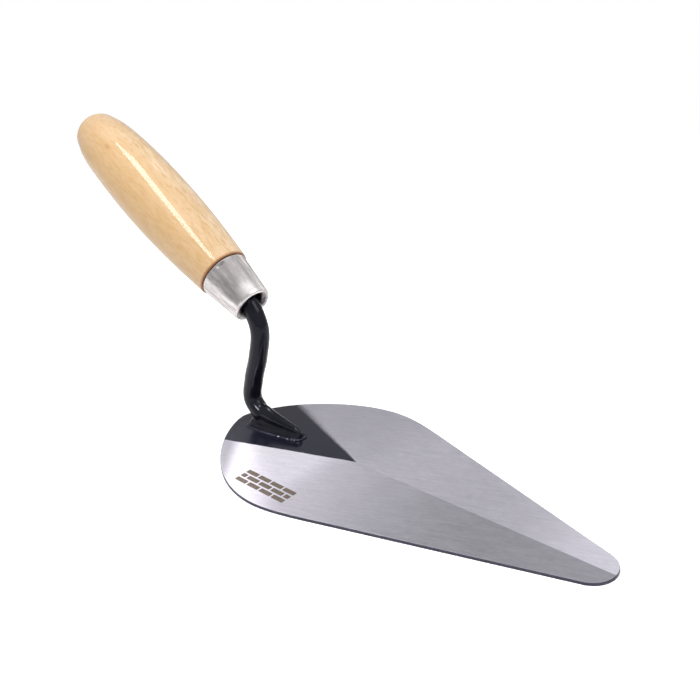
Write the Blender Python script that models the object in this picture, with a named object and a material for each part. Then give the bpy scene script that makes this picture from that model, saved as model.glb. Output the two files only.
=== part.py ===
"""Brick trowel with a teardrop blade, a welded goose-neck shank and a turned wooden handle.

Frame: metres, +Z up, X towards the blade's tip, Y across the blade. The origin is on the flat
underside of the blade, on its centreline, where the blade is widest. Everything is symmetric
about the plane y = 0. The blade lies on its underside and the handle rises over its heel.
"""

import math

import bmesh
import bpy
from mathutils import Matrix, Vector

GAP = 0.0003  # clearance kept where two pieces touch

# Blade: outline in plan, then the thickness of the unground heel and of the ground edge.
HEEL_X = -0.0555
TIP_X = 0.123
HALF_WIDTH = 0.0434
HEEL_HANDLES = (0.009, 0.033)  # pull of the heel curve, first along Y, then along X
SIDE_HANDLES = (0.010, 0.014)  # pull of the shoulder curve, at the widest place and at the side
SIDE_START_X = 0.036
SIDE_ANGLE = math.radians(17.6)
TIP_RADIUS = 0.0094
HEEL_THICKNESS = 0.0024
EDGE_THICKNESS = 0.00125
FLAT_APEX_X = 0.013  # the unground triangle ends here, where the centre ridge starts
FLAT_CORNER = (-0.0435, 0.0197)

# Handle axis: it starts at the ferrule's mouth and rises backwards.
MOUTH = Vector((-0.0398, 0.0, 0.0572))
HANDLE_SLOPE = math.radians(33.0)

# Ferrule, measured along the axis from its mouth.
FERRULE_LENGTH = 0.0197
FERRULE_MOUTH_RADIUS = 0.0084
FERRULE_WOOD_RADIUS = 0.01095
FERRULE_WALL = 0.0009
LIP_INNER_RADIUS = 0.0070
LIP_DEPTH = 0.0011

# Handle: length of wood behind the ferrule, and its radius at fractions of that length.
WOOD_LENGTH = 0.1052
WOOD_PROFILE = (
    (0.00, 0.0116),
    (0.17, 0.01334),
    (0.34, 0.01439),
    (0.50, 0.01466),
    (0.64, 0.01427),
    (0.77, 0.01340),
    (0.87, 0.01210),
    (0.94, 0.01000),
)
BUTT_ROUNDING = 1.4  # power of the butt's end curve, where 2 is a half round
SPIGOT_SETBACK = 0.0080  # from the ferrule's mouth to the wood inside it
BORE_RADIUS = 0.0042
BORE_DEPTH = 0.098  # from the ferrule's mouth

# Shank: one forging. The tang is straight on the handle's axis, the neck follows its points.
TANG_LENGTH = 0.094
TANG_TIP_RADIUS = 0.0018
NECK_RADIUS = 0.0040
NECK_POINTS = (
    (-0.0376, 0.0480),
    (-0.0406, 0.0344),
    (-0.0453, 0.0230),
    (-0.0475, 0.0125),
    (-0.0420, 0.0065),
)
# Foot of the shank: place along X, half width of the skirt, height of the spine over the blade.
FOOT_STATIONS = (
    (-0.0480, 0.0010, 0.0026),
    (-0.0476, 0.0026, 0.0046),
    (-0.0466, 0.0044, 0.0068),
    (-0.0446, 0.0058, 0.0090),
    (-0.0400, 0.0058, 0.0098),
    (-0.0350, 0.0053, 0.0083),
    (-0.0280, 0.0041, 0.0066),
    (-0.0225, 0.0031, 0.0053),
    (-0.0198, 0.0023, 0.0046),
    (-0.0182, 0.0012, 0.0026),
)
SPINE_HALF_WIDTH = 0.0010
SKIRT_HEIGHT = 0.0014
GROOVE_HEIGHT = 0.0022
BEAD_RADIUS = 0.0007

ROUND_STEPS = 48
FOOT_TOP = HEEL_THICKNESS + GAP


def clear_scene():
    for obj in list(bpy.data.objects):
        bpy.data.objects.remove(obj, do_unlink=True)


def make_material(name, colour, roughness, metallic):
    material = bpy.data.materials.new(name)
    material.use_nodes = True
    shader = material.node_tree.nodes["Principled BSDF"]
    shader.inputs["Base Color"].default_value = (*colour, 1.0)
    shader.inputs["Roughness"].default_value = roughness
    shader.inputs["Metallic"].default_value = metallic
    return material


def add_object(name, bm, material, matrix=None, sharp_degrees=30):
    bmesh.ops.recalc_face_normals(bm, faces=bm.faces)
    mesh = bpy.data.meshes.new(name)
    bm.to_mesh(mesh)
    bm.free()
    mesh.shade_smooth()
    mesh.set_sharp_from_angle(angle=math.radians(sharp_degrees))
    obj = bpy.data.objects.new(name, mesh)
    if matrix is not None:
        obj.matrix_world = matrix
    obj.data.materials.append(material)
    bpy.context.scene.collection.objects.link(obj)
    return obj


def bezier(start, pull_a, pull_b, end, steps):
    """Points of a cubic Bezier curve, both ends included."""
    points = []
    for i in range(steps + 1):
        t = i / steps
        s = 1 - t
        points.append(s**3 * start + 3 * s * s * t * pull_a + 3 * s * t * t * pull_b + t**3 * end)
    return points


def through(points, steps):
    """A smooth curve through the points: cubic Hermite spans with chord-weighted tangents."""
    spans = [(b - a).length for a, b in zip(points, points[1:])]
    tangents = [(points[1] - points[0]) / spans[0]]
    for i in range(1, len(points) - 1):
        before = (points[i] - points[i - 1]) / spans[i - 1]
        after = (points[i + 1] - points[i]) / spans[i]
        share = spans[i - 1] / (spans[i - 1] + spans[i])
        tangents.append(before * (1 - share) + after * share)
    tangents.append((points[-1] - points[-2]) / spans[-1])
    curve = [points[0]]
    for i, span in enumerate(spans):
        pull_a = points[i] + tangents[i] * span / 3
        pull_b = points[i + 1] - tangents[i + 1] * span / 3
        curve += bezier(points[i], pull_a, pull_b, points[i + 1], steps)[1:]
    return curve


def bridge(bm, ring_a, ring_b):
    """Quads between two rings of equally many vertices, or triangles where a ring is one vertex."""
    count = max(len(ring_a), len(ring_b))
    for i in range(count):
        j = (i + 1) % count
        corners = [ring_a[i % len(ring_a)], ring_a[j % len(ring_a)]]
        corners += [ring_b[j % len(ring_b)], ring_b[i % len(ring_b)]]
        bm.faces.new(list(dict.fromkeys(corners)))


def loft(rings, closed=False):
    """A closed body through rings of points. Open ends are capped, or end in a single point."""
    bm = bmesh.new()
    made = [[bm.verts.new(point) for point in ring] for ring in rings]
    for ring_a, ring_b in zip(made, made[1:]):
        bridge(bm, ring_a, ring_b)
    if closed:
        bridge(bm, made[-1], made[0])
        return bm
    for ring in (made[0], made[-1]):
        if len(ring) > 2:
            bm.faces.new(ring)
    return bm


def turned(profile, closed=False):
    """Turn (radius, height) points round local Z. A radius of 0 gives a single point."""
    rings = []
    for radius, height in profile:
        if radius == 0:
            rings.append([Vector((0, 0, height))])
            continue
        ring = []
        for i in range(ROUND_STEPS):
            angle = 2 * math.pi * i / ROUND_STEPS
            ring.append(Vector((radius * math.cos(angle), radius * math.sin(angle), height)))
        rings.append(ring)
    return loft(rings, closed)


def handle_frame():
    """Local +Z runs from the ferrule's mouth to the butt, and local Y is the world's Y."""
    back = Vector((-math.cos(HANDLE_SLOPE), 0, math.sin(HANDLE_SLOPE)))
    side = Vector((0, 1, 0))
    rows = Matrix((side.cross(back), side, back))
    return Matrix.Translation(MOUTH) @ rows.transposed().to_4x4()


def blade_outline():
    """Half the outline, from the heel round to the tip, on the +Y side."""
    heel = bezier(
        Vector((HEEL_X, 0)),
        Vector((HEEL_X, HEEL_HANDLES[0])),
        Vector((-HEEL_HANDLES[1], HALF_WIDTH)),
        Vector((0, HALF_WIDTH)),
        28,
    )
    centre_x = TIP_X - TIP_RADIUS
    leave = Vector((centre_x + TIP_RADIUS * math.sin(SIDE_ANGLE), TIP_RADIUS * math.cos(SIDE_ANGLE)))
    back = Vector((-math.cos(SIDE_ANGLE), math.sin(SIDE_ANGLE)))
    side = leave + back * ((leave.x - SIDE_START_X) / math.cos(SIDE_ANGLE))
    pull_a = Vector((SIDE_HANDLES[0], HALF_WIDTH))
    shoulder = bezier(Vector((0, HALF_WIDTH)), pull_a, side + back * SIDE_HANDLES[1], side, 14)
    tip = []
    for i in range(9):
        angle = (math.pi / 2 - SIDE_ANGLE) * (1 - i / 8)
        tip.append(Vector((centre_x + TIP_RADIUS * math.cos(angle), TIP_RADIUS * math.sin(angle))))
    return heel + shoulder[1:] + tip


def make_blade(material):
    """A plate as thick as the heel, cut down by the two ground facets, which meet in the ridge."""
    half = blade_outline()
    outline = half + [Vector((p.x, -p.y)) for p in reversed(half[1:-1])]
    low = [Vector((p.x, p.y, 0)) for p in outline]
    high = [Vector((p.x, p.y, HEEL_THICKNESS)) for p in outline]
    bm = loft([low, high])
    corner_x, corner_y = FLAT_CORNER
    away = Vector((corner_y, FLAT_APEX_X - corner_x)).normalized()
    widest = away.dot(Vector((-FLAT_APEX_X, HALF_WIDTH)))
    fall = (HEEL_THICKNESS - EDGE_THICKNESS) / widest
    for side in (1, -1):
        cut = bmesh.ops.bisect_plane(
            bm,
            geom=bm.verts[:] + bm.edges[:] + bm.faces[:],
            plane_co=Vector((FLAT_APEX_X, 0, HEEL_THICKNESS)),
            plane_no=Vector((away.x * fall, side * away.y * fall, 1)),
            clear_outer=True,
        )
        rim = [item for item in cut["geom_cut"] if isinstance(item, bmesh.types.BMEdge)]
        bmesh.ops.contextual_create(bm, geom=rim)
    return add_object("blade", bm, material, sharp_degrees=1)


def neck_rings():
    """Round sections from the tang's tip, along the handle's axis, and down the goose-neck."""
    back = handle_frame().to_3x3() @ Vector((0, 0, 1))
    tang = [MOUTH + back * (TANG_LENGTH * share) for share in (1.0, 0.6, 0.15, 0.06)]
    route = through(tang + [Vector((x, 0, z)) for x, z in NECK_POINTS], 8)
    rings = []
    for i, point in enumerate(route):
        ahead = (route[min(i + 1, len(route) - 1)] - route[max(i - 1, 0)]).normalized()
        side = Vector((0, 1, 0))
        across = ahead.cross(side)
        behind = max(0.0, (point - MOUTH).dot(back)) / TANG_LENGTH
        radius = NECK_RADIUS + (TANG_TIP_RADIUS - NECK_RADIUS) * behind
        ring = []
        for k in range(20):
            angle = 2 * math.pi * k / 20
            ring.append(point + (side * math.cos(angle) + across * math.sin(angle)) * radius)
        rings.append(ring)
    return rings


def foot_rings():
    """Sections of the foot across X: a skirt, a groove over it, and a wedge up to the spine."""
    rings = []
    for x, half_width, height in FOOT_STATIONS:
        low = FOOT_TOP
        skirt = min(SKIRT_HEIGHT, height * 0.45)
        groove = min(GROOVE_HEIGHT, height * 0.65)
        spine = min(SPINE_HALF_WIDTH, half_width * 0.5)
        side = [
            (half_width, 0.0),
            (half_width, skirt * 0.6),
            (half_width * 0.82, skirt),
            (half_width * 0.60, groove),
            (half_width * 0.45 + spine * 0.3, (groove + height) / 2),
            (spine, height * 0.94),
        ]
        ring = [Vector((x, y, low + z)) for y, z in side]
        ring.append(Vector((x, 0, low + height)))
        ring += [Vector((x, -y, low + z)) for y, z in reversed(side)]
        rings.append(ring)
    return rings


def make_shank(material):
    shank = add_object("shank", loft(neck_rings()), material, sharp_degrees=40)
    foot = add_object("foot_blank", loft(foot_rings()), material, sharp_degrees=40)
    foot.hide_render = True
    foot.display_type = "WIRE"
    join = shank.modifiers.new("join_foot", "BOOLEAN")
    join.operation = "UNION"
    join.solver = "EXACT"
    join.object = foot
    return shank


def make_weld(material):
    """A bead round the base of the foot, clear of the foot and of the blade."""
    offset = GAP + BEAD_RADIUS
    half = [(FOOT_STATIONS[0][0] - offset, 0.0)]
    for i, (x, half_width, _) in enumerate(FOOT_STATIONS):
        before = FOOT_STATIONS[max(i - 1, 0)]
        after = FOOT_STATIONS[min(i + 1, len(FOOT_STATIONS) - 1)]
        along = Vector((after[0] - before[0], after[1] - before[1])).normalized()
        half.append((x - along.y * offset, half_width + along.x * offset))
    half.append((FOOT_STATIONS[-1][0] + offset, 0.0))
    route = half + [(x, -y) for x, y in reversed(half[1:-1])]
    rings = []
    for i, (x, y) in enumerate(route):
        before = Vector(route[i - 1])
        after = Vector(route[(i + 1) % len(route)])
        along = (after - before).normalized()
        out = Vector((along.y, -along.x, 0))
        ring = []
        for k in range(8):
            angle = 2 * math.pi * k / 8
            lift = Vector((0, 0, BEAD_RADIUS * (1 + math.sin(angle))))
            ring.append(Vector((x, y, FOOT_TOP)) + out * (BEAD_RADIUS * math.cos(angle)) + lift)
        rings.append(ring)
    return add_object("foot_weld", loft(rings, closed=True), material, sharp_degrees=60)


def ferrule_radius(height):
    """Outer radius of the ferrule at a distance from its mouth."""
    share = height / FERRULE_LENGTH
    return FERRULE_MOUTH_RADIUS + (FERRULE_WOOD_RADIUS - FERRULE_MOUTH_RADIUS) * share


def make_ferrule(material):
    """A tapered collar, open at both ends, with its mouth rolled in to a round lip."""
    length = FERRULE_LENGTH
    profile = [(ferrule_radius(length) - FERRULE_WALL, length), (ferrule_radius(length), length)]
    profile.append((ferrule_radius(LIP_DEPTH), LIP_DEPTH))
    for i in range(1, 5):
        angle = math.pi / 2 * i / 4
        drop = FERRULE_MOUTH_RADIUS - LIP_DEPTH * (1 - math.cos(angle))
        profile.append((drop, LIP_DEPTH * (1 - math.sin(angle))))
    profile.append((LIP_INNER_RADIUS, 0.0002))
    profile.append((LIP_INNER_RADIUS, LIP_DEPTH * 0.8))
    inner = ferrule_radius(LIP_DEPTH * 2) - FERRULE_WALL
    profile.append((inner, LIP_DEPTH * 2))
    return add_object("ferrule", turned(profile, closed=True), material, handle_frame())


def wood_radius(fraction):
    """Radius of the wood at a fraction of its length, with a round end on the butt."""
    knots = [Vector(pair) for pair in WOOD_PROFILE]
    slopes = []
    for i in range(len(knots)):
        low = knots[max(i - 1, 0)]
        high = knots[min(i + 1, len(knots) - 1)]
        slopes.append((high.y - low.y) / (high.x - low.x))
    for i in range(len(knots) - 1):
        a, b = knots[i], knots[i + 1]
        if fraction <= b.x:
            span = b.x - a.x
            t = (fraction - a.x) / span
            blend = 3 * t * t - 2 * t**3
            bend_a = slopes[i] * span * (t**3 - 2 * t * t + t)
            bend_b = slopes[i + 1] * span * (t**3 - t * t)
            return a.y * (1 - blend) + b.y * blend + bend_a + bend_b
    last = knots[-1]
    share = (fraction - last.x) / (1 - last.x)
    return last.y * math.sqrt(max(0.0, 1 - share**BUTT_ROUNDING))


def make_handle(material):
    """Turned wood: a full body, a spigot inside the ferrule, and the bore that holds the tang."""
    shoulder = FERRULE_LENGTH + GAP
    profile = [(0.0, BORE_DEPTH), (BORE_RADIUS, BORE_DEPTH), (BORE_RADIUS, SPIGOT_SETBACK)]
    for height in (SPIGOT_SETBACK, shoulder):
        profile.append((ferrule_radius(height) - FERRULE_WALL - GAP, height))
    steps = 30
    for i in range(steps):
        fraction = 1 - (1 - i / steps) ** 1.6
        profile.append((wood_radius(fraction), shoulder + WOOD_LENGTH * fraction))
    profile.append((0.0, shoulder + WOOD_LENGTH))
    return add_object("handle", turned(profile), material, handle_frame())


def main():
    clear_scene()
    make_blade(make_material("ground_steel", (0.52, 0.51, 0.53), 0.32, 1.0))
    lacquer = make_material("black_lacquer", (0.02, 0.02, 0.025), 0.22, 0.0)
    make_shank(lacquer)
    make_weld(make_material("lacquered_weld", (0.03, 0.03, 0.035), 0.35, 0.0))
    make_ferrule(make_material("plated_steel", (0.66, 0.64, 0.64), 0.28, 1.0))
    make_handle(make_material("varnished_wood", (0.80, 0.58, 0.32), 0.30, 0.0))


main()
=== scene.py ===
"""Finished look of the brick trowel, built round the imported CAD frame.

A detailed piece replaces each CAD node: a ground blade with its lacquered heel, one forged
shank, the weld bead, a drawn ferrule and a varnished handle. A plain etched mark is added on the
blade. Metres, in the CAD's frame.
"""

import math

import bmesh
import bpy
from mathutils import Matrix, Vector, noise


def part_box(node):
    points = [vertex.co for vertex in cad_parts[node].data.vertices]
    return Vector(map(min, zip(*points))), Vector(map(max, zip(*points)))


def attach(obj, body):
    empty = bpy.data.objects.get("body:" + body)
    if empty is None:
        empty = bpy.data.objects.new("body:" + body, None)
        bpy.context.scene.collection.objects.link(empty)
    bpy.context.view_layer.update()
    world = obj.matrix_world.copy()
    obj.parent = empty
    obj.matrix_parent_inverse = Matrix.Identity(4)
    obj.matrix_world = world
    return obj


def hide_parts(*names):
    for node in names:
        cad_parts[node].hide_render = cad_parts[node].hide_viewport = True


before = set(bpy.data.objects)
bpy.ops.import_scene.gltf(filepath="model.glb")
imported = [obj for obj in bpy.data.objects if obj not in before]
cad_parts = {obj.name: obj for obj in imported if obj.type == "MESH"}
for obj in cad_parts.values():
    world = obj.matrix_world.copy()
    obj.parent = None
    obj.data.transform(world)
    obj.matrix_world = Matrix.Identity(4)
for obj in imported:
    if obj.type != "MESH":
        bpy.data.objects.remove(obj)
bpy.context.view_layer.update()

# Camera: it looks along +Y at azimuth 0 and along -X at azimuth 90.
CAMERA_AZIMUTH = math.radians(45.4)
CAMERA_ELEVATION = math.radians(22.33)
CAMERA_ROLL = math.radians(-4.25)
CAMERA_AIM = Vector((-0.0012, 0.0155, 0.0413))
CAMERA_DISTANCE = 0.3307
CAMERA_LENS = 42.74  # millimetres
CAMERA_SENSOR = 36.0  # millimetres

# Studio. Each softbox is aimed at one of the four points of the trowel.
ROOM_STRENGTH = 0.42
CEILING_IRRADIANCE = 0.5
CEILING_SPREAD = math.radians(70)
FLOOR_RADIUS = 0.8
FLOOR_STEPS = 96
FLOOR_DROP = 0.00005
FLOOR_WHITE = (0.86, 0.86, 0.86)
FLOOR_WHITE_SEEN = (1.35, 1.35, 1.35)
BLADE_AIM = (-0.03, 0.0, 0.0)
HANDLE_AIM = (-0.09, 0.0, 0.11)
NECK_AIM = (-0.042, 0.0, 0.01)
TOE_AIM = (-0.020, 0.0, 0.003)

# Blade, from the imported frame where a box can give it.
blade_low, blade_high = (Vector(corner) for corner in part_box("blade"))
HEEL_X = blade_low.x
TIP_X = blade_high.x
HALF_WIDTH = blade_high.y
HEEL_THICKNESS = blade_high.z
EDGE_THICKNESS = 0.00125
HEEL_HANDLES = (0.009, 0.033)
SIDE_HANDLES = (0.010, 0.014)
SIDE_START_X = 0.036
SIDE_ANGLE = math.radians(17.6)
TIP_RADIUS = 0.0094
FLAT_APEX_X = 0.013
FLAT_CORNER = (-0.0435, 0.0197)
EDGE_ROUND = 0.00012
EDGE_ROUND_STEPS = 3
HEEL_STEPS = 90
SHOULDER_STEPS = 40
SIDE_STEPS = 70
TIP_STEPS = 36
INWARD_STEPS = 44
SPINE_FROM_HEEL = 0.020
SPINE_FROM_TIP = 0.010

# Grinding: how softly it runs out at the triangle and at the ridge, and how its marks run.
BREAK_SOFT = 0.0003
BREAK_SOFTER = 0.0030  # added on the far side, in full from BREAK_SOFTER_Y
BREAK_SOFTER_Y = 0.020
RIDGE_SOFT = 0.0002
RIDGE_SOFTER = 0.0030  # added at the triangle, and gone at RIDGE_SHARP_X
RIDGE_SHARP_X = 0.060
RIDGE_LEAD = 0.004
MARK_ANGLE = math.radians(22)  # from the blade's length

# Painted highlight and shade along a ground facet, as a tone on its colour: (lean, low, high,
# tone at low, tone at high), with low and high measured along x + lean * y.
NEAR_PAINTED_LIGHT = (
    (0.0, -0.030, 0.085, 1.28, 0.64),  # painted highlight, falling from heel to tip
    (0.86, -0.0585, -0.0485, 0.40, 1.0),  # painted shade at the rim of the heel
    (0.0, -0.002, 0.012, 1.20, 1.0),  # painted highlight beside the triangle
)
FAR_PAINTED_LIGHT = (
    # painted highlight, falling a little towards the tip
    (0.0, 0.030, 0.080, 1.10, 0.95),
    (0.0, 0.085, 0.115, 1.0, 1.22),  # painted highlight at the tip
    (0.0, -0.010, 0.035, 0.86, 1.02),  # painted shade beside the triangle
)

# Handle axis, ferrule and wood.
MOUTH = Vector((-0.0398, 0.0, 0.0572))
HANDLE_SLOPE = math.radians(33.0)
FERRULE_LENGTH = 0.0197
FERRULE_MOUTH_RADIUS = 0.0084
FERRULE_WOOD_RADIUS = 0.01095
FERRULE_WALL = 0.0009
FERRULE_SIDES = 180
FERRULE_STEPS = 40
REAR_RIM = 0.0005
REAR_RIM_STEPS = 5
LIP_INNER_RADIUS = 0.0070
LIP_DEPTH = 0.0011
LIP_CURL = 0.0024
LIP_STEPS = 12
LIP_INSIDE = (  # (past the lip's inner radius, height), from the mouth inwards
    (0.00015, 0.00010),
    (0.0, 0.00035),
    (-0.0008, 0.0016),
    (-0.0009, 0.0024),
    (-0.0002, 0.0040),
)
LIP_END = 0.0072
STAKE_TOWARDS = Vector((0.45, -0.57, 0.69))
STAKE_HEIGHT = FERRULE_LENGTH - 0.0013
STAKE_DEPTH = 0.0006
STAKE_HALF_LENGTH = 0.0016
STAKE_HALF_WIDTH = 0.00045
SWAY = 0.00006
SWAYS_PER_METRE = 260
RAGGED_PULL = 0.0007  # how far the inside of the lip is pulled in, varied by noise
RAGS_PER_METRE = 210
RAGGED_BELOW = 0.003
RAGGED_MOST = 0.00072  # in line with the neck, and RAGGED_MORE more beside it
RAGGED_MORE = 0.0006
WOOD_LENGTH = 0.1052
WOOD_START = FERRULE_LENGTH + 0.0003
WOOD_PROFILE = (
    (0.00, 0.0116),
    (0.17, 0.01334),
    (0.34, 0.01439),
    (0.50, 0.01466),
    (0.64, 0.01427),
    (0.77, 0.01340),
    (0.87, 0.01210),
    (0.94, 0.01000),
)
WOOD_SIDES = 144
WOOD_STEPS = 170
WOOD_CROWDING = 1.7  # above 1, the steps crowd towards the butt
BUTT_ROUNDING = 1.4
SHOULDER_EASE = 0.0005
SHOULDER_EASE_STEPS = 5
SPIGOT_SETBACK = 0.0080
SPIGOT_GAP = 0.0003
BORE_RADIUS = 0.0042
BORE_DEPTH = 0.098
KNOT = (0.0097, -0.0094, 0.0975)  # in the handle's frame
PIN_KNOT = (0.0122, -0.0073, 0.0547)

# Shank: tang, goose-neck and foot.
TANG_LENGTH = 0.094
TANG_TIP_RADIUS = 0.0018
TANG_SHARES = (1.0, 0.6, 0.15, 0.06)
NECK_RADIUS = 0.0040
NECK_SIDES = 48
NECK_STEPS = 16
NECK_POINTS = (
    (-0.0376, 0.0480),
    (-0.0406, 0.0344),
    (-0.0453, 0.0230),
    (-0.0475, 0.0125),
    (-0.0420, 0.0065),
)
FOOT_STATIONS = (  # (x, half width, height)
    (-0.0480, 0.0010, 0.0026),
    (-0.0476, 0.0026, 0.0046),
    (-0.0466, 0.0044, 0.0068),
    (-0.0446, 0.0058, 0.0090),
    (-0.0400, 0.0058, 0.0098),
    (-0.0350, 0.0053, 0.0083),
    (-0.0280, 0.0041, 0.0066),
    (-0.0225, 0.0031, 0.0053),
    (-0.0198, 0.0023, 0.0046),
    (-0.0182, 0.0012, 0.0026),
)
FOOT_STEPS = 6
SECTION_STEPS = 4
SPINE_HALF_WIDTH = 0.0010
SKIRT_HEIGHT = 0.00154
GROOVE_HEIGHT = 0.0022
FOOT_BASE = HEEL_THICKNESS
FORGING_VOXEL = 0.00028
FORGING_EASE = 0.5
FORGING_EASE_PASSES = 30

# Weld bead round the foot.
WELD_RADIUS = 0.00070
WELD_SIDES = 14
WELD_STEPS = 10
WELD_HEEL_OFFSET = 0.0003
WELD_SIDE_OFFSET = 0.0002
WELD_TOE_OFFSET = 0.0004
WELD_MIDDLE = Vector((-0.036, 0, 0))
WELD_RIPPLE = 0.10
WELD_RIPPLE_LENGTH = 0.00022  # for one radian
WELD_LUMP = 0.25
WELD_LUMPS_PER_METRE = 700
WELD_SWELLS = (  # (where the bead is thicker, by how much)
    (Vector((-0.0186, 0.0030, 0)), 0.9),
    (Vector((-0.0208, -0.0021, 0)), 0.8),
)
WELD_SWELL_REACH = 0.0016
WELD_SINK = 0.0002

# Etched mark: bricks in running bond.
BRICK = Vector((0.0062, 0.0021))
BRICK_GAP = 0.0008
BRICK_CORNER = 0.00030
BRICKS_ACROSS = 4
COURSES = 3
MARK_WIDTH = BRICKS_ACROSS * BRICK.x + (BRICKS_ACROSS - 1) * BRICK_GAP
MARK_CORNER = Vector((-0.0170, -0.0368))
MARK_LIFT = 0.00002


# ---- shape helpers -------------------------------------------------------------------------

def smoothstep(low, high, value):
    """0 at low, 1 at high, held beyond both, and smooth between. low may be the higher one."""
    t = min(1.0, max(0.0, (value - low) / (high - low)))
    return t * t * (3 - 2 * t)


def bezier(start, pull_a, pull_b, end, steps):
    """Points of a cubic Bezier curve, both ends included."""
    points = []
    for i in range(steps + 1):
        t = i / steps
        s = 1 - t
        points.append(s**3 * start + 3 * s * s * t * pull_a + 3 * s * t * t * pull_b + t**3 * end)
    return points


def through(points, steps):
    """A smooth curve through the points: cubic Hermite spans with chord-weighted tangents."""
    spans = [(b - a).length for a, b in zip(points, points[1:])]
    tangents = [(points[1] - points[0]) / spans[0]]
    for i in range(1, len(points) - 1):
        before = (points[i] - points[i - 1]) / spans[i - 1]
        after = (points[i + 1] - points[i]) / spans[i]
        share = spans[i - 1] / (spans[i - 1] + spans[i])
        tangents.append(before * (1 - share) + after * share)
    tangents.append((points[-1] - points[-2]) / spans[-1])
    curve = [points[0]]
    for i, span in enumerate(spans):
        pull_a = points[i] + tangents[i] * span / 3
        pull_b = points[i + 1] - tangents[i + 1] * span / 3
        curve += bezier(points[i], pull_a, pull_b, points[i + 1], steps)[1:]
    return curve


def bridge(bm, ring_a, ring_b, slot=0):
    """Quads between two rings of equally many vertices, or triangles where a ring is one vertex."""
    count = max(len(ring_a), len(ring_b))
    for i in range(count):
        j = (i + 1) % count
        corners = [ring_a[i % len(ring_a)], ring_a[j % len(ring_a)]]
        corners += [ring_b[j % len(ring_b)], ring_b[i % len(ring_b)]]
        face = bm.faces.new(list(dict.fromkeys(corners)))
        face.material_index = slot


def loft(rings, closed=False):
    """A closed body through rings of points. Open ends are capped, or end in a single point."""
    bm = bmesh.new()
    made = [[bm.verts.new(point) for point in ring] for ring in rings]
    for ring_a, ring_b in zip(made, made[1:]):
        bridge(bm, ring_a, ring_b)
    if closed:
        bridge(bm, made[-1], made[0])
        return bm
    for ring in (made[0], made[-1]):
        if len(ring) > 2:
            bm.faces.new(ring)
    return bm


def circle(steps):
    """(cosine, sine) of evenly spaced angles, once round."""
    angles = [2 * math.pi * i / steps for i in range(steps)]
    return [(math.cos(angle), math.sin(angle)) for angle in angles]


def quarter_round(steps):
    """(1 - sine, 1 - cosine) from 0 to 90 degrees, for rounding a corner."""
    angles = [math.pi / 2 * i / steps for i in range(steps + 1)]
    return [(1 - math.sin(angle), 1 - math.cos(angle)) for angle in angles]


def turned(profile, steps, closed=False):
    """Turn (radius, height) points round local Z. A radius of 0 gives a single point."""
    rings = []
    for radius, height in profile:
        if radius == 0:
            rings.append([Vector((0, 0, height))])
        else:
            rings.append([Vector((radius * c, radius * s, height)) for c, s in circle(steps)])
    return loft(rings, closed)


def handle_frame():
    """Local +Z runs from the ferrule's mouth to the butt, and local Y is the world's Y."""
    back = Vector((-math.cos(HANDLE_SLOPE), 0, math.sin(HANDLE_SLOPE)))
    side = Vector((0, 1, 0))
    rows = Matrix((side.cross(back), side, back))
    return Matrix.Translation(MOUTH) @ rows.transposed().to_4x4()


def add_piece(name, bm, materials, matrix=None, sharp_degrees=35):
    """A smooth-shaded object from the mesh, first moved by the matrix if there is one."""
    bmesh.ops.recalc_face_normals(bm, faces=bm.faces)
    if matrix is not None:
        bm.transform(matrix)
    mesh = bpy.data.meshes.new(name)
    bm.to_mesh(mesh)
    bm.free()
    mesh.shade_smooth()
    mesh.set_sharp_from_angle(angle=math.radians(sharp_degrees))
    obj = bpy.data.objects.new(name, mesh)
    for material in materials:
        mesh.materials.append(material)
    bpy.context.scene.collection.objects.link(obj)
    return obj


def apply_modifiers(obj):
    """Replace the object's mesh with its evaluated one."""
    graph = bpy.context.evaluated_depsgraph_get()
    graph.update()
    mesh = bpy.data.meshes.new_from_object(obj.evaluated_get(graph))
    obj.modifiers.clear()
    old = obj.data
    obj.data = mesh
    bpy.data.meshes.remove(old)
    mesh.name = obj.name


# ---- material helpers ----------------------------------------------------------------------

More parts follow.
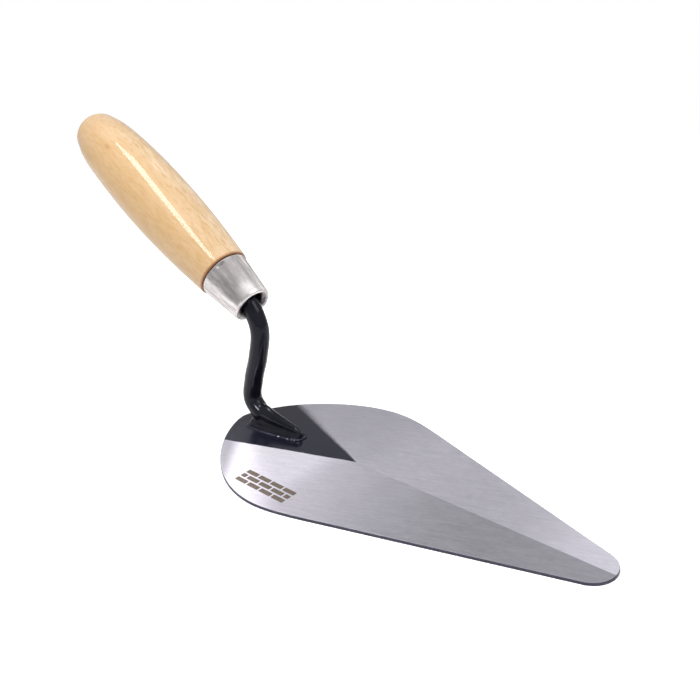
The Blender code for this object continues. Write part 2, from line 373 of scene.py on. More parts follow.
class Shader:
    """A Principled material, with short calls for the nodes that drive it."""

    def __init__(self, name, **values):
        self.material = bpy.data.materials.new(name)
        self.material.use_nodes = True
        self.tree = self.material.node_tree
        self.bsdf = self.tree.nodes["Principled BSDF"]
        for key, value in values.items():
            self.bsdf.inputs[key.replace("_", " ")].default_value = value
        self.coords = self.add("ShaderNodeTexCoord").outputs["Object"]

    def use_frame(self, matrix):
        """Measure the textures in a frame of their own, such as the handle's."""
        local = self.add("ShaderNodeMapping", vector_type="TEXTURE")
        self.feed(local.inputs["Vector"], self.coords)
        local.inputs["Location"].default_value = matrix.translation
        local.inputs["Rotation"].default_value = matrix.to_euler()
        self.coords = local.outputs[0]

    def add(self, kind, **settings):
        """A new node with these settings."""
        node = self.tree.nodes.new(kind)
        for key, value in settings.items():
            setattr(node, key, value)
        return node

    def feed(self, socket, value):
        """Link a socket to the input, or set the input to a plain value."""
        if isinstance(value, bpy.types.NodeSocket):
            self.tree.links.new(value, socket)
        else:
            socket.default_value = value

    def set(self, name, value):
        self.feed(self.bsdf.inputs[name], value)

    def math(self, operation, a, b=0.0):
        node = self.add("ShaderNodeMath", operation=operation)
        self.feed(node.inputs[0], a)
        self.feed(node.inputs[1], b)
        return node.outputs[0]

    def placed(self, scale, turn=0.0, shift=(0, 0, 0)):
        """Coordinates turned about Z, moved, and then scaled, so that a long cell is a streak."""
        turned_by = self.add("ShaderNodeMapping", vector_type="POINT")
        self.feed(turned_by.inputs["Vector"], self.coords)
        turned_by.inputs["Rotation"].default_value = (0, 0, turn)
        turned_by.inputs["Location"].default_value = shift
        scaled = self.add("ShaderNodeMapping", vector_type="POINT")
        self.feed(scaled.inputs["Vector"], turned_by.outputs[0])
        scaled.inputs["Scale"].default_value = scale
        return scaled.outputs[0]

    def noise(self, vector, detail=3.0, roughness=0.55, distortion=0.0):
        node = self.add("ShaderNodeTexNoise")
        self.feed(node.inputs["Vector"], vector)
        node.inputs["Scale"].default_value = 1.0
        node.inputs["Detail"].default_value = detail
        node.inputs["Roughness"].default_value = roughness
        node.inputs["Distortion"].default_value = distortion
        return node.outputs["Fac"]

    def remap(self, value, low, high, to_low=0.0, to_high=1.0, smooth=False):
        node = self.add("ShaderNodeMapRange", clamp=True)
        if smooth:
            node.interpolation_type = "SMOOTHSTEP"
        for name, number in zip(("From Min", "From Max", "To Min", "To Max"),
                                (low, high, to_low, to_high)):
            self.feed(node.inputs[name], number)
        self.feed(node.inputs["Value"], value)
        return node.outputs[0]

    def mix_colour(self, share, colour_a, colour_b):
        node = self.add("ShaderNodeMix", data_type="RGBA")
        self.feed(node.inputs["Factor"], share)
        for socket, colour in ((node.inputs[6], colour_a), (node.inputs[7], colour_b)):
            self.feed(socket, (*colour, 1.0) if isinstance(colour, tuple) else colour)
        return node.outputs[2]

    def mix_value(self, share, value_a, value_b):
        node = self.add("ShaderNodeMix", data_type="FLOAT")
        self.feed(node.inputs["Factor"], share)
        self.feed(node.inputs[2], value_a)
        self.feed(node.inputs[3], value_b)
        return node.outputs[0]

    def axes(self):
        node = self.add("ShaderNodeSeparateXYZ")
        self.feed(node.inputs[0], self.coords)
        return node.outputs[0], node.outputs[1], node.outputs[2]

    def bump(self, height, strength, distance):
        node = self.add("ShaderNodeBump")
        self.feed(node.inputs["Height"], height)
        node.inputs["Strength"].default_value = strength
        node.inputs["Distance"].default_value = distance
        self.set("Normal", node.outputs[0])


def distance_mask(shader, centre, radius_low, radius_high, stretch=(1, 1, 1)):
    """1 inside radius_low of a point, 0 outside radius_high, with the axes stretched."""
    offset = shader.add("ShaderNodeVectorMath", operation="SUBTRACT")
    shader.feed(offset.inputs[0], shader.coords)
    offset.inputs[1].default_value = centre
    scaled = shader.add("ShaderNodeVectorMath", operation="MULTIPLY")
    shader.feed(scaled.inputs[0], offset.outputs[0])
    scaled.inputs[1].default_value = stretch
    length = shader.add("ShaderNodeVectorMath", operation="LENGTH")
    shader.feed(length.inputs[0], scaled.outputs[0])
    return shader.remap(length.outputs["Value"], radius_low, radius_high, 1.0, 0.0, smooth=True)


# ---- blade ---------------------------------------------------------------------------------

FACET_AWAY = Vector((FLAT_CORNER[1], FLAT_APEX_X - FLAT_CORNER[0])).normalized()
FACET_FALL = (HEEL_THICKNESS - EDGE_THICKNESS) / FACET_AWAY.dot(Vector((-FLAT_APEX_X, HALF_WIDTH)))
NEAR_SLOT, FAR_SLOT, EDGE_SLOT, BASE_SLOT = range(4)


def facet_distance(x, y):
    """Distance in plan outside the unground triangle's side, on the side of y."""
    return (x - FLAT_APEX_X) * FACET_AWAY.x + abs(y) * FACET_AWAY.y


def blade_top(x, y):
    """Height of the blade's upper face. The grinding runs out softly on the far side."""
    reach = facet_distance(x, y)
    soft = BREAK_SOFT + BREAK_SOFTER * smoothstep(0.0, BREAK_SOFTER_Y, y)
    if reach < -soft:
        return HEEL_THICKNESS
    if reach < soft:
        reach = (reach + soft) ** 2 / (4 * soft)
    ridge_round = RIDGE_SOFT + RIDGE_SOFTER * smoothstep(RIDGE_SHARP_X, FLAT_APEX_X, x)
    if x > FLAT_APEX_X - RIDGE_LEAD and abs(y) < ridge_round:
        reach += FACET_AWAY.y * (ridge_round - abs(y)) ** 2 / (2 * ridge_round)
    return HEEL_THICKNESS - FACET_FALL * reach


def blade_outline():
    """Half the outline, from the heel round to the tip, on the +Y side."""
    widest = Vector((0, HALF_WIDTH))
    heel = bezier(
        Vector((HEEL_X, 0)),
        Vector((HEEL_X, HEEL_HANDLES[0])),
        Vector((-HEEL_HANDLES[1], HALF_WIDTH)),
        widest,
        HEEL_STEPS,
    )
    centre = Vector((TIP_X - TIP_RADIUS, 0))
    leave = centre + TIP_RADIUS * Vector((math.sin(SIDE_ANGLE), math.cos(SIDE_ANGLE)))
    back = Vector((-math.cos(SIDE_ANGLE), math.sin(SIDE_ANGLE)))
    side = leave + back * ((leave.x - SIDE_START_X) / math.cos(SIDE_ANGLE))
    pull_a = Vector((SIDE_HANDLES[0], HALF_WIDTH))
    shoulder = bezier(widest, pull_a, side + back * SIDE_HANDLES[1], side, SHOULDER_STEPS)
    straight = [side.lerp(leave, i / SIDE_STEPS) for i in range(1, SIDE_STEPS)]
    tip = []
    for i in range(TIP_STEPS + 1):
        angle = (math.pi / 2 - SIDE_ANGLE) * (1 - i / TIP_STEPS)
        tip.append(centre + TIP_RADIUS * Vector((math.cos(angle), math.sin(angle))))
    return heel + shoulder[1:] + straight + tip


def blade_normals(outline):
    """Outward normals in plan of a closed outline that runs clockwise seen from above."""
    normals = []
    for i in range(len(outline)):
        along = outline[(i + 1) % len(outline)] - outline[i - 1]
        normals.append(Vector((-along.y, along.x)).normalized())
    return normals


def blade_rim(bm, outline, normals):
    """The cut edge with its two rounded corners, and the base. It gives the top's first ring."""
    lower, upper = [], []
    for rings, is_top in ((lower, False), (upper, True)):
        for fall, inset in quarter_round(EDGE_ROUND_STEPS):
            ring = []
            for p, n in zip(outline, normals):
                height = EDGE_ROUND * fall
                if is_top:
                    height = blade_top(p.x, p.y) - height
                spot = p - n * EDGE_ROUND * inset
                ring.append(bm.verts.new((spot.x, spot.y, height)))
            rings.append(ring)
    bridge(bm, lower[0], upper[0], EDGE_SLOT)
    for rings in (lower, upper):
        for ring_a, ring_b in zip(rings, rings[1:]):
            bridge(bm, ring_a, ring_b, EDGE_SLOT)
    bm.faces.new(lower[-1]).material_index = BASE_SLOT
    return upper[-1]


def blade_face(bm, outline, normals, rim):
    """The upper face: rings that close in from the rim to a line along the middle."""
    outer = [p - n * EDGE_ROUND for p, n in zip(outline, normals)]
    spine_start = HEEL_X + SPINE_FROM_HEEL
    spine_length = TIP_X - SPINE_FROM_TIP - spine_start
    spine = [Vector((spine_start + spine_length * (p.x - HEEL_X) / (TIP_X - HEEL_X), 0.0))
             for p in outline]
    before = rim
    for k in range(1, INWARD_STEPS):
        spots = [a.lerp(b, k / INWARD_STEPS) for a, b in zip(outer, spine)]
        ring = [bm.verts.new((p.x, p.y, blade_top(p.x, p.y))) for p in spots]
        bridge(bm, before, ring, NEAR_SLOT)
        before = ring
    middle = []
    for i, spot in enumerate(spine):
        if i <= len(spine) // 2:
            middle.append(bm.verts.new((spot.x, 0.0, blade_top(spot.x, 0.0))))
        else:
            middle.append(middle[len(spine) - i])
    bridge(bm, before, middle, NEAR_SLOT)
    for face in bm.faces:
        if face.material_index == NEAR_SLOT and face.calc_center_median().y > 0:
            face.material_index = FAR_SLOT


def make_blade():
    half = blade_outline()
    outline = half + [Vector((p.x, -p.y)) for p in reversed(half[1:-1])]
    normals = blade_normals(outline)
    bm = bmesh.new()
    rim = blade_rim(bm, outline, normals)
    blade_face(bm, outline, normals, rim)
    materials = [ground_steel("ground_steel_near", 1), ground_steel("ground_steel_far", -1),
                 edge_steel(), underside_steel()]
    blade = add_piece("blade_plate", bm, materials, sharp_degrees=50)
    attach(blade, "root")
    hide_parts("blade")


def ground_steel(name, side):
    """Ground facet: brush marks along the blade's straight side, lacquer on the triangle, and
    painted highlight and shade.

    side is 1 for the near facet, where the lacquer ends sharply, and -1 for the far one.
    """
    s = Shader(name, Anisotropic=0.45, Specular_IOR_Level=0.60,
               Specular_Tint=(0.86, 0.86, 1, 1))
    broad = s.noise(s.placed((90, 700, 1), -MARK_ANGLE, (0.1 * side, 0, 0)), detail=2.0)
    fine = s.noise(s.placed((420, 2600, 1), -MARK_ANGLE, (0.31, 0.17, 0)), detail=3.0)
    cloud = s.noise(s.placed((26, 40, 1), -MARK_ANGLE, (0.7, 0.2, 0)), detail=2.0)
    marks = s.mix_value(0.6, broad, fine)
    steel = s.mix_colour(s.remap(marks, 0.32, 0.68), (0.553, 0.536, 0.596), (0.703, 0.685, 0.752))
    steel = s.mix_colour(s.remap(cloud, 0.35, 0.65, 0.0, 0.25), steel, (0.65, 0.625, 0.670))

    x, y, _ = s.axes()
    # Painted light: the steel's colour is scaled by position, as painted highlight and painted
    # shade.
    tone = 1.0
    for lean, low, high, tone_low, tone_high in NEAR_PAINTED_LIGHT if side > 0 else FAR_PAINTED_LIGHT:
        place = s.math("ADD", x, s.math("MULTIPLY", y, lean)) if lean else x
        painted_light_ramp = s.remap(place, low, high, tone_low, tone_high, smooth=True)
        tone = s.math("MULTIPLY", tone, painted_light_ramp)
    scaled = s.add("ShaderNodeVectorMath", operation="SCALE")
    s.feed(scaled.inputs[0], steel)
    s.feed(scaled.inputs["Scale"], tone)
    steel = scaled.outputs[0]

    reach = s.math("MULTIPLY", s.math("SUBTRACT", x, FLAT_APEX_X), FACET_AWAY.x)
    reach = s.math("ADD", reach, s.math("MULTIPLY", s.math("ABSOLUTE", y), FACET_AWAY.y))
    wobble = s.noise(s.placed((160, 160, 1), 0.0, (0.4, 0.9, 0)), detail=3.0)
    reach = s.math("ADD", reach, s.remap(wobble, 0.3, 0.7, -0.00015, 0.00015))
    if side > 0:
        lacquer = s.remap(reach, -0.00012, 0.00018, 1.0, 0.0, smooth=True)
    else:
        soft = s.remap(y, 0.0, BREAK_SOFTER_Y, 0.0002, 0.0022)
        lacquer = s.remap(reach, 0.0, s.math("MULTIPLY", soft, 2.2), 1.0, 0.0, smooth=True)
    s.set("Base Color", s.mix_colour(lacquer, steel, (0.007, 0.007, 0.016)))
    s.set("Metallic", s.remap(lacquer, 0.0, 1.0, 1.0, 0.0))
    rough = s.remap(marks, 0.3, 0.7, 0.34, 0.42)
    s.set("Roughness", s.mix_value(lacquer, rough, 0.13))
    s.bump(s.mix_value(lacquer, marks, 0.5), 0.22, 0.00012)
    tangent = s.add("ShaderNodeCombineXYZ")
    tangent.inputs[0].default_value = -math.sin(MARK_ANGLE)
    tangent.inputs[1].default_value = math.cos(MARK_ANGLE)
    s.set("Tangent", tangent.outputs[0])
    return s.material


def edge_steel():
    """The cut edge, dark with scale and lacquer."""
    s = Shader("edge_steel", Metallic=0.6)
    streak = s.noise(s.placed((300, 300, 2500)), detail=3.0)
    s.set("Base Color", s.mix_colour(s.remap(streak, 0.3, 0.7), (0.035, 0.035, 0.055),
                                     (0.085, 0.085, 0.12)))
    s.set("Roughness", s.remap(streak, 0.3, 0.7, 0.32, 0.5))
    s.bump(streak, 0.2, 0.0001)
    return s.material


def underside_steel():
    """The underside, ground from end to end."""
    s = Shader("underside_steel", Metallic=1.0, Anisotropic=0.5)
    marks = s.noise(s.placed((30, 1200, 1)), detail=4.0, roughness=0.7)
    s.set("Base Color", s.mix_colour(s.remap(marks, 0.3, 0.7), (0.46, 0.45, 0.47),
                                     (0.62, 0.61, 0.63)))
    s.set("Roughness", s.remap(marks, 0.3, 0.7, 0.28, 0.42))
    s.bump(marks, 0.1, 0.0001)
    return s.material


# ---- shank and weld ------------------------------------------------------------------------

def black_lacquer(name, peel, roughness=0.14):
    """Glossy black dip lacquer. peel is the strength of its faint orange peel."""
    s = Shader(name, Roughness=roughness, Specular_IOR_Level=0.29, Specular_Tint=(0.83, 0.85, 1, 1))
    tone = s.noise(s.placed((140, 140, 140)), detail=2.0)
    s.set("Base Color", s.mix_colour(s.remap(tone, 0.35, 0.65), (0.004, 0.004, 0.007),
                                     (0.009, 0.009, 0.013)))
    height = s.noise(s.placed((300, 300, 300)), detail=3.0)
    s.bump(height, peel, 0.0008)
    return s.material


def neck_rings():
    """Round sections from the tang's tip, along the handle's axis, and down the goose-neck."""
    back = handle_frame().to_3x3() @ Vector((0, 0, 1))
    tang = [MOUTH + back * (TANG_LENGTH * share) for share in TANG_SHARES]
    route = through(tang + [Vector((x, 0, z)) for x, z in NECK_POINTS], NECK_STEPS)
    side = Vector((0, 1, 0))
    rings = []
    for i, point in enumerate(route):
        ahead = (route[min(i + 1, len(route) - 1)] - route[max(i - 1, 0)]).normalized()
        across = ahead.cross(side)
        behind = max(0.0, (point - MOUTH).dot(back)) / TANG_LENGTH
        radius = NECK_RADIUS + (TANG_TIP_RADIUS - NECK_RADIUS) * behind
        rings.append([point + (side * c + across * s) * radius for c, s in circle(NECK_SIDES)])
    return rings


def foot_section(half_width, height):
    """Half a section of the foot, (y, z) from the skirt's base up to the spine."""
    skirt = min(SKIRT_HEIGHT, height * 0.45)
    groove = min(GROOVE_HEIGHT, height * 0.65)
    spine = min(SPINE_HALF_WIDTH, half_width * 0.5)
    corners = [
        (half_width, 0.0),
        (half_width, skirt * 0.6),
        (half_width * 0.82, skirt),
        (half_width * 0.54, groove),
        (half_width * 0.45 + spine * 0.3, (groove + height) / 2),
        (spine, height * 0.94),
        (0.0, height),
    ]
    return [Vector((y, z, 0)) for y, z in corners]


def foot_rings():
    """Whole sections of the foot, one after another from its heel to its toe."""
    rings = []
    for x, half_width, height in through([Vector(row) for row in FOOT_STATIONS], FOOT_STEPS):
        side = through(foot_section(half_width, height), SECTION_STEPS)
        ring = [Vector((x, p.x, FOOT_BASE + p.y)) for p in side]
        ring += [Vector((x, -p.x, FOOT_BASE + p.y)) for p in reversed(side[:-1])]
        rings.append(ring)
    return rings


def make_shank():
    """Neck and foot joined, then remeshed and eased, so that they read as one forging."""
    lacquer = black_lacquer("shank_lacquer", 0.16)
    shank = add_piece("shank_forging", loft(neck_rings()), [lacquer])
    foot = add_piece("foot_blank", loft(foot_rings()), [lacquer])
    join = shank.modifiers.new("join", "BOOLEAN")
    join.operation = "UNION"
    join.solver = "EXACT"
    join.object = foot
    remesh = shank.modifiers.new("remesh", "REMESH")
    remesh.mode = "VOXEL"
    remesh.voxel_size = FORGING_VOXEL
    ease = shank.modifiers.new("ease", "SMOOTH")
    ease.factor = FORGING_EASE
    ease.iterations = FORGING_EASE_PASSES
    apply_modifiers(shank)
    bpy.data.objects.remove(foot, do_unlink=True)
    shank.data.shade_smooth()
    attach(shank, "root")
    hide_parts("shank")


def weld_route():
    """Closed route round the foot's base."""
    half = [Vector((FOOT_STATIONS[0][0] - WELD_HEEL_OFFSET, 0.0, 0))]
    half += [Vector((x, half_width + WELD_SIDE_OFFSET, 0)) for x, half_width, _ in FOOT_STATIONS]
    half.append(Vector((FOOT_STATIONS[-1][0] + WELD_TOE_OFFSET, 0.0, 0)))
    half = through(half, WELD_STEPS)
    return half + [Vector((p.x, -p.y, 0)) for p in reversed(half[1:-1])]


def weld_radius(point, length):
    """The bead's radius at a point of its route, which is this length along it."""
    ripple = 1 + WELD_RIPPLE * math.sin(length / WELD_RIPPLE_LENGTH)
    swell = 1
    for centre, gain in WELD_SWELLS:
        swell += gain * math.exp(-((point - centre).length / WELD_SWELL_REACH) ** 2)
    lump = 1 + WELD_LUMP * noise.noise(point * WELD_LUMPS_PER_METRE)
    return WELD_RADIUS * ripple * swell * lump


def make_weld():
    """A rippled bead round the base of the foot, thicker where it ran out beside the toe."""
    route = weld_route()
    rings = []
    length = 0.0
    for i, point in enumerate(route):
        after = route[(i + 1) % len(route)]
        length += (after - point).length
        along = (after - route[i - 1]).normalized()
        out = Vector((along.y, -along.x, 0))
        if out.dot(point - WELD_MIDDLE) < 0:
            out = -out
        radius = weld_radius(point, length)
        # The section is flattened, lifted a little, and pushed outwards by a quarter.
        ring = []
        for c, s in circle(WELD_SIDES):
            spot = point + out * (radius * c + radius * 0.25)
            spot.z = FOOT_BASE + max(-WELD_SINK, radius * (s * 0.8 + 0.15))
            ring.append(spot)
        rings.append(ring)
    bead = add_piece("weld_bead", loft(rings, closed=True),
                     [black_lacquer("weld_lacquer", 0.25, roughness=0.13)],
                     sharp_degrees=80)
    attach(bead, "root")
    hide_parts("foot_weld")


# ---- ferrule -------------------------------------------------------------------------------

def ferrule_radius(height):
    """Outer radius of the ferrule's taper, at a height above its mouth."""
    share = height / FERRULE_LENGTH
    return FERRULE_MOUTH_RADIUS + (FERRULE_WOOD_RADIUS - FERRULE_MOUTH_RADIUS) * share


def plated_steel():
    """Nickel-plated steel with the long marks of the drawing die, and painted highlight and shade.
    """
    s = Shader("plated_steel", Metallic=1.0)
    s.use_frame(handle_frame())
    streak = s.noise(s.placed((430, 430, 16)), detail=3.0, roughness=0.6)
    fine = s.noise(s.placed((2400, 2400, 70), 0.0, (0.2, 0.5, 0)), detail=3.0)
    smudge = s.noise(s.placed((330, 330, 160), 0.0, (0.8, 0.1, 0)), detail=3.0)
    marks = s.mix_value(0.25, streak, fine)
    plate = s.mix_colour(s.remap(marks, 0.38, 0.60), (0.46, 0.424, 0.422), (0.92, 0.879, 0.876))
    plate = s.mix_colour(s.remap(smudge, 0.50, 0.70, 0.0, 0.45), plate, (0.50, 0.455, 0.45))

    # A painted shade band and a painted highlight patch, both on one side. facing is 1 in the
    # middle of that side.
    x, y, along = s.axes()
    radius = s.math("SQRT", s.math("ADD", s.math("MULTIPLY", x, x), s.math("MULTIPLY", y, y)))
    facing = s.math("DIVIDE", s.math("SUBTRACT", s.math("MULTIPLY", x, 0.94),
                                     s.math("MULTIPLY", y, 0.34)), radius)
    painted_shade_band = s.math("MULTIPLY", s.remap(facing, 0.93, 0.995, 0.0, 0.65, smooth=True),
                  s.remap(along, 0.005, 0.010, 0.0, 1.0, smooth=True))
    plate = s.mix_colour(painted_shade_band, plate, (0.40, 0.37, 0.37))
    painted_highlight_patch = s.math("MULTIPLY", s.remap(facing, 0.80, 0.96, 0.0, 0.85, smooth=True),
                    s.remap(along, 0.0035, 0.0080, 1.0, 0.0, smooth=True))
    plate = s.mix_colour(painted_highlight_patch, plate, (0.98, 0.95, 0.945))
    # Painted highlight: a near-white line round the rear rim.
    painted_rim_highlight = s.remap(along, FERRULE_LENGTH - 0.0008, FERRULE_LENGTH - 0.0004, 0.0, 0.85)
    plate = s.mix_colour(painted_rim_highlight, plate, (1.0, 0.98, 0.97))
    s.set("Base Color", plate)
    s.set("Roughness", s.remap(marks, 0.3, 0.7, 0.42, 0.30))
    s.bump(s.mix_value(0.3, marks, smudge), 0.25, 0.0002)
    return s.material


def ferrule_profile():
    """Closed (radius, height) profile: rear rim, taper, rolled lip, and back along the inside."""
    rear = ferrule_radius(FERRULE_LENGTH)
    profile = [(rear - FERRULE_WALL, FERRULE_LENGTH)]
    for inwards, down in quarter_round(REAR_RIM_STEPS):
        profile.append((rear - REAR_RIM * inwards, FERRULE_LENGTH - REAR_RIM * down))
    taper_top = FERRULE_LENGTH - REAR_RIM
    for i in range(1, FERRULE_STEPS):
        height = taper_top + (LIP_CURL - taper_top) * i / FERRULE_STEPS
        profile.append((ferrule_radius(height), height))
    for up, inwards in quarter_round(LIP_STEPS):
        profile.append((ferrule_radius(LIP_CURL) - LIP_DEPTH * inwards, LIP_CURL * up))
    profile += [(LIP_INNER_RADIUS + past, height) for past, height in LIP_INSIDE]
    profile.append((ferrule_radius(LIP_END) - FERRULE_WALL, LIP_END))
    return profile


def hand_worn(spot, radius, stake_angle):
    """The radius with the punched stake, a faint sway, and the ragged inside of the lip."""
    turn = math.atan2(spot.y, spot.x) - stake_angle
    turn = math.atan2(math.sin(turn), math.cos(turn)) * radius
    rise = spot.z - STAKE_HEIGHT
    shape = -((turn / STAKE_HALF_LENGTH) ** 4) - (rise / STAKE_HALF_WIDTH) ** 2
    radius += SWAY * noise.noise(spot * SWAYS_PER_METRE) - STAKE_DEPTH * math.exp(shape)
    if math.hypot(spot.x, spot.y) < LIP_INNER_RADIUS + 0.0001 and spot.z < RAGGED_BELOW:
        pull = RAGGED_PULL * (0.8 + 1.6 * noise.noise(spot * RAGS_PER_METRE))
        # The neck passes close to the back of the lip, which stays out of its way there.
        most = RAGGED_MOST + RAGGED_MORE * smoothstep(0.0010, 0.0030, abs(spot.y))
        radius -= min(pull, most)
    return radius


def make_ferrule():
    """A drawn collar with a rolled lip, a rounded rear rim and the punched stake near it."""
    bm = turned(ferrule_profile(), FERRULE_SIDES, closed=True)
    matrix = handle_frame()
    stake = matrix.to_3x3().transposed() @ STAKE_TOWARDS
    stake_angle = math.atan2(stake.y, stake.x)
    for vert in bm.verts:
        radius = math.hypot(vert.co.x, vert.co.y)
        scale = hand_worn(vert.co, radius, stake_angle) / radius
        vert.co.x *= scale
        vert.co.y *= scale
    ferrule = add_piece("ferrule_collar", bm, [plated_steel()], matrix, sharp_degrees=60)
    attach(ferrule, "root")
    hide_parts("ferrule")


# ---- handle --------------------------------------------------------------------------------

def varnished_wood():
    """Pale close-grained hardwood, turned and varnished, stained brown against the ferrule, with
    painted shade on one flank and inside the ferrule.
    """
    s = Shader("varnished_wood", Coat_Weight=0.6, Coat_Roughness=0.07, Coat_IOR=1.4,
               Specular_IOR_Level=0.2, Sheen_Weight=0.22, Sheen_Roughness=0.35,
               Sheen_Tint=(1, 0.97, 0.94, 1))
    s.use_frame(handle_frame())
    figure = s.noise(s.placed((150, 110, 38)), detail=4.0, roughness=0.6, distortion=0.8)
    grain = s.noise(s.placed((620, 620, 22), 0.0, (0.3, 0.1, 0)), detail=5.0, roughness=0.65)
    flecks = s.noise(s.placed((1150, 1150, 210), 0.0, (0.6, 0.2, 0)), detail=2.0)
    wood = s.mix_colour(s.remap(figure, 0.30, 0.70), (0.65, 0.455, 0.260), (0.785, 0.625, 0.445))
    wood = s.mix_colour(s.remap(grain, 0.45, 0.72, 0.0, 0.40), wood, (0.62, 0.37, 0.15))
    blotch = s.noise(s.placed((240, 240, 90), 0.0, (0.9, 0.4, 0)), detail=3.0)
    wood = s.mix_colour(s.remap(blotch, 0.46, 0.64, 0.0, 0.45), wood, (0.60, 0.38, 0.17))
    wood = s.mix_colour(s.remap(flecks, 0.50, 0.62, 0.0, 0.55), wood, (0.50, 0.28, 0.11))

    halo = distance_mask(s, KNOT, 0.0006, 0.0040, (1, 1, 0.45))
    wood = s.mix_colour(s.math("MULTIPLY", halo, 0.35), wood, (0.55, 0.30, 0.11))
    knot = distance_mask(s, KNOT, 0.0004, 0.0013, (1, 1, 0.5))
    wood = s.mix_colour(s.math("MULTIPLY", knot, 0.8), wood, (0.30, 0.12, 0.035))
    pin_knot = distance_mask(s, PIN_KNOT, 0.0002, 0.0007, (1, 1, 0.6))
    wood = s.mix_colour(s.math("MULTIPLY", pin_knot, 0.7), wood, (0.40, 0.18, 0.06))

    x, y, along = s.axes()
    # Painted shade: the handle's -Y flank is darker and warmer.
    painted_shade_flank = s.math("SUBTRACT", s.math("MULTIPLY", x, 0.2), y)
    painted_shade_flank = s.remap(painted_shade_flank, 0.000, 0.011, 0.0, 0.65, smooth=True)
    wood = s.mix_colour(painted_shade_flank, wood, (0.65, 0.41, 0.19))
    butt = s.remap(along, 0.096, 0.124, 0.0, 0.35, smooth=True)
    wood = s.mix_colour(butt, wood, (0.60, 0.42, 0.28))
    stain = s.remap(along, WOOD_START + 0.0001, WOOD_START + 0.0012, 1.0, 0.0, smooth=True)
    wood = s.mix_colour(s.math("MULTIPLY", stain, 0.8), wood, (0.36, 0.13, 0.04))
    # Painted shade: the wood inside the ferrule is near black.
    inside = s.remap(along, WOOD_START - 0.0002, WOOD_START + 0.0001, 1.0, 0.0)
    wood = s.mix_colour(inside, wood, (0.05, 0.025, 0.012))
    s.set("Base Color", wood)
    s.set("Roughness", s.remap(grain, 0.3, 0.7, 0.40, 0.52))
    ripple = s.noise(s.placed((520, 520, 240)), detail=4.0, roughness=0.6)
    s.bump(s.mix_value(0.25, ripple, grain), 0.75, 0.0006)
    return s.material


def wood_radius(fraction):
    """Radius of the wood at a fraction of its length, with a round end on the butt."""
    knots = [Vector(pair) for pair in WOOD_PROFILE]
    slopes = []
    for i in range(len(knots)):
        low = knots[max(i - 1, 0)]
        high = knots[min(i + 1, len(knots) - 1)]
        slopes.append((high.y - low.y) / (high.x - low.x))
    for i in range(len(knots) - 1):
        a, b = knots[i], knots[i + 1]
        if fraction <= b.x:
            span = b.x - a.x
            t = (fraction - a.x) / span
            share = 3 * t * t - 2 * t**3
            bend_a = slopes[i] * span * (t**3 - 2 * t * t + t)
            bend_b = slopes[i + 1] * span * (t**3 - t * t)
            return a.y * (1 - share) + b.y * share + bend_a + bend_b
    last = knots[-1]
    share = (fraction - last.x) / (1 - last.x)
    return last.y * math.sqrt(max(0.0, 1 - share**BUTT_ROUNDING))


def make_handle():
    """Turned body with an eased shoulder, the spigot inside the ferrule, and the tang's bore."""
    profile = [(0.0, BORE_DEPTH), (BORE_RADIUS, BORE_DEPTH), (BORE_RADIUS, SPIGOT_SETBACK)]
    for height in (SPIGOT_SETBACK, WOOD_START):
        profile.append((ferrule_radius(height) - FERRULE_WALL - SPIGOT_GAP, height))
    shoulder = wood_radius(0)
    for inwards, up in quarter_round(SHOULDER_EASE_STEPS):
        profile.append((shoulder - SHOULDER_EASE * inwards, WOOD_START + SHOULDER_EASE * up))
    for i in range(2, WOOD_STEPS):
        fraction = 1 - (1 - i / WOOD_STEPS) ** WOOD_CROWDING
        profile.append((wood_radius(fraction), WOOD_START + WOOD_LENGTH * fraction))
    profile.append((0.0, WOOD_START + WOOD_LENGTH))
    handle = add_piece("handle_wood", turned(profile, WOOD_SIDES), [varnished_wood()],
                       handle_frame(), sharp_degrees=50)
    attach(handle, "root")
    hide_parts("handle")


# ---- etched mark ---------------------------------------------------------------------------

def etched_brown():
    """The mark's matt brown."""
    s = Shader("etched_mark", Metallic=0.6, Roughness=0.55)
    tone = s.noise(s.placed((900, 900, 1)), detail=3.0)
    s.set("Base Color", s.mix_colour(s.remap(tone, 0.3, 0.7), (0.20, 0.155, 0.125),
                                     (0.30, 0.24, 0.20)))
    s.bump(tone, 0.2, 0.0001)
    return s.material


def course_ends(row):
    """(left, right) of each brick in a course. Every second one has a short brick at each end."""
    pitch = BRICK.x + BRICK_GAP
    starts = [0.0]
    start = pitch if row % 2 == 0 else pitch / 2
    while start < MARK_WIDTH:
        starts.append(start)
        start += pitch
    starts.append(MARK_WIDTH + BRICK_GAP)
    return [(left, right - BRICK_GAP) for left, right in zip(starts, starts[1:])]


def rounded_rectangle(low, high, radius):
    """Points round a rectangle in plan, with four at each rounded corner."""
    left, right = low.x + radius, high.x - radius
    bottom, top = low.y + radius, high.y - radius
    points = []
    for x, y, first in ((right, top, 0), (left, top, 90), (left, bottom, 180),
                        (right, bottom, 270)):
        for k in range(4):
            angle = math.radians(first + 30 * k)
            points.append(Vector((x + radius * math.cos(angle), y + radius * math.sin(angle))))
    return points


def make_etched_mark():
    """A plain running-bond pattern, etched brown on the near facet."""
    bm = bmesh.new()
    for row in range(COURSES):
        rise = row * (BRICK.y + BRICK_GAP)
        for left, right in course_ends(row):
            plan = rounded_rectangle(MARK_CORNER + Vector((left, rise)),
                                     MARK_CORNER + Vector((right, rise + BRICK.y)), BRICK_CORNER)
            top = [bm.verts.new((p.x, p.y, blade_top(p.x, p.y) + MARK_LIFT)) for p in plan]
            base = [bm.verts.new((p.x, p.y, blade_top(p.x, p.y) - MARK_LIFT)) for p in plan]
            bm.faces.new(top)
            bm.faces.new(list(reversed(base)))
            bridge(bm, top, base)
    mark = add_piece("etched_brick_pattern", bm, [etched_brown()])
    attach(mark, "root")


# ---- studio --------------------------------------------------------------------------------

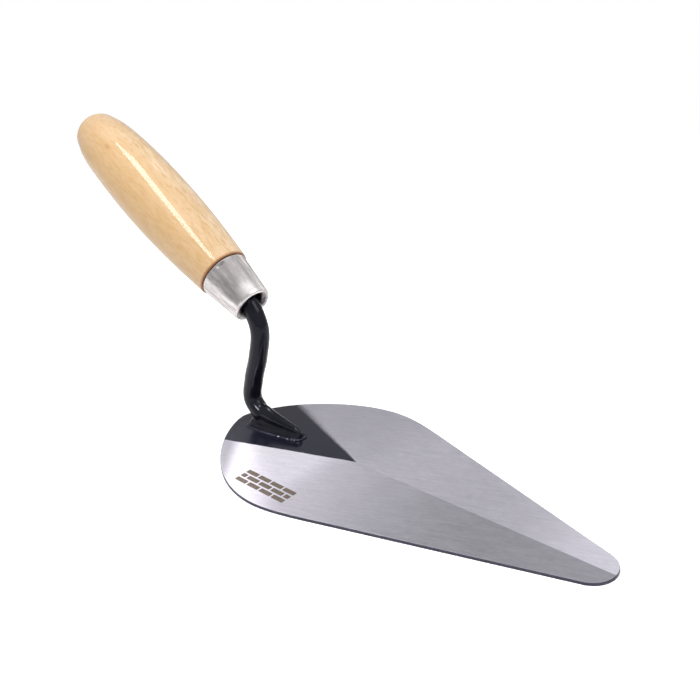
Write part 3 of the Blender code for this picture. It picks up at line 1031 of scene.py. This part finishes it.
def make_camera():
    """The camera at its bearing from CAMERA_AIM, rolled about the way it looks."""
    azimuth, elevation = CAMERA_AZIMUTH, CAMERA_ELEVATION
    forward = Vector((-math.sin(azimuth) * math.cos(elevation),
                      math.cos(azimuth) * math.cos(elevation), -math.sin(elevation)))
    level = forward.cross(Vector((0, 0, 1))).normalized()
    upright = level.cross(forward)
    right = level * math.cos(CAMERA_ROLL) + upright * math.sin(CAMERA_ROLL)
    up = upright * math.cos(CAMERA_ROLL) - level * math.sin(CAMERA_ROLL)
    data = bpy.data.cameras.new("camera")
    data.sensor_width = CAMERA_SENSOR
    data.lens = CAMERA_LENS
    data.clip_start = 0.01
    data.clip_end = 20.0
    camera = bpy.data.objects.new("camera", data)
    rotation = Matrix((right, up, -forward)).transposed().to_4x4()
    camera.matrix_world = Matrix.Translation(CAMERA_AIM - forward * CAMERA_DISTANCE) @ rotation
    bpy.context.scene.collection.objects.link(camera)
    bpy.context.scene.camera = camera


def make_floor():
    """A white table, brighter to the camera than to the object, so that it shows as white."""
    s = Shader("studio_floor", Roughness=0.9, Specular_IOR_Level=0.0)
    seen = s.add("ShaderNodeLightPath").outputs["Is Camera Ray"]
    s.set("Base Color", s.mix_colour(seen, FLOOR_WHITE, FLOOR_WHITE_SEEN))
    bm = bmesh.new()
    bm.faces.new([bm.verts.new((FLOOR_RADIUS * cosine, FLOOR_RADIUS * sine, -FLOOR_DROP))
                  for cosine, sine in circle(FLOOR_STEPS)])
    floor = add_piece("floor", bm, [s.material])


def make_world():
    """White behind the table, and a dim room for everything that reflects it."""
    world = bpy.data.worlds.new("studio")
    bpy.context.scene.world = world
    world.use_nodes = True
    nodes, links = world.node_tree.nodes, world.node_tree.links
    seen = nodes.new("ShaderNodeLightPath").outputs["Is Camera Ray"]
    strength = nodes.new("ShaderNodeMapRange")
    strength.inputs["To Min"].default_value = ROOM_STRENGTH
    strength.inputs["To Max"].default_value = 1.0
    links.new(seen, strength.inputs["Value"])
    background = nodes["Background"]
    background.inputs["Color"].default_value = (1.0, 1.0, 1.0, 1.0)
    links.new(strength.outputs[0], background.inputs["Strength"])


def make_softbox(name, azimuth, elevation, distance, size, radiance, turn=0, aim=BLADE_AIM):
    """A rectangular softbox, placed by its bearing in degrees from the point it is aimed at."""
    azimuth, elevation = math.radians(azimuth), math.radians(elevation)
    bearing = Vector((math.cos(elevation) * math.cos(azimuth),
                      math.cos(elevation) * math.sin(azimuth), math.sin(elevation)))
    data = bpy.data.lights.new(name, "AREA")
    data.shape = "RECTANGLE"
    data.size, data.size_y = size
    data.energy = radiance * math.pi * size[0] * size[1]
    light = bpy.data.objects.new(name, data)
    light.location = Vector(aim) + bearing * distance
    facing = bearing.to_track_quat("Z", "Y").to_matrix()
    light.rotation_euler = (facing @ Matrix.Rotation(math.radians(turn), 3, "Z")).to_euler()
    bpy.context.scene.collection.objects.link(light)
    return light


def shine_on(light, names):
    """Let the light reach only the pieces with these names. It gives their collection."""
    group = bpy.data.collections.new(light.name + "_reach")
    for name in names:
        group.objects.link(bpy.data.objects[name])
    light.light_linking.receiver_collection = group
    return group


def make_lights():
    """Softboxes that the steel, the lacquer and the varnish reflect, and a soft ceiling.

    Light linking keeps most of them to some of the pieces. Only the blade and its mark block
    the heel softbox, so the shank casts no shadow in its reflection.
    """
    blade = ("blade_plate", "etched_brick_pattern")
    painted = ("shank_forging", "weld_bead")
    heel = make_softbox("heel_softbox", 160, 30, 1.0, (0.38, 0.30), 3.6)
    heel.data.cycles.use_multiple_importance_sampling = False
    heel.light_linking.blocker_collection = shine_on(heel, blade)
    back = make_softbox("back_softbox", 90, 20, 1.3, (1.1, 0.84), 0.70)
    shine_on(back, (*blade, "ferrule_collar", "handle_wood", "floor"))
    make_softbox("right_softbox", 18, 42, 1.1, (0.6, 0.6), 2.4, aim=HANDLE_AIM)
    strip = make_softbox("overhead_strip", -92.5, 69, 0.953, (0.70, 0.18), 19.0, turn=133.5,
                         aim=HANDLE_AIM)
    shine_on(strip, ("handle_wood", *painted, "blade_plate", "floor"))
    neck_glint = make_softbox("neck_glint", -77, 39, 0.6, (0.10, 0.10), 30.0, aim=NECK_AIM)
    shine_on(neck_glint, painted)
    toe_glint = make_softbox("toe_glint", -98, 46, 0.6, (0.20, 0.16), 110.0, aim=TOE_AIM)
    shine_on(toe_glint, ("weld_bead",))
    ceiling = bpy.data.lights.new("ceiling", "SUN")
    ceiling.angle = CEILING_SPREAD
    ceiling.energy = CEILING_IRRADIANCE
    bpy.context.scene.collection.objects.link(bpy.data.objects.new("ceiling", ceiling))


def main():
    make_camera()
    make_world()
    make_floor()
    make_blade()
    make_shank()
    make_weld()
    make_ferrule()
    make_handle()
    make_etched_mark()
    make_lights()
    bpy.context.scene.view_settings.view_transform = "Standard"


main()
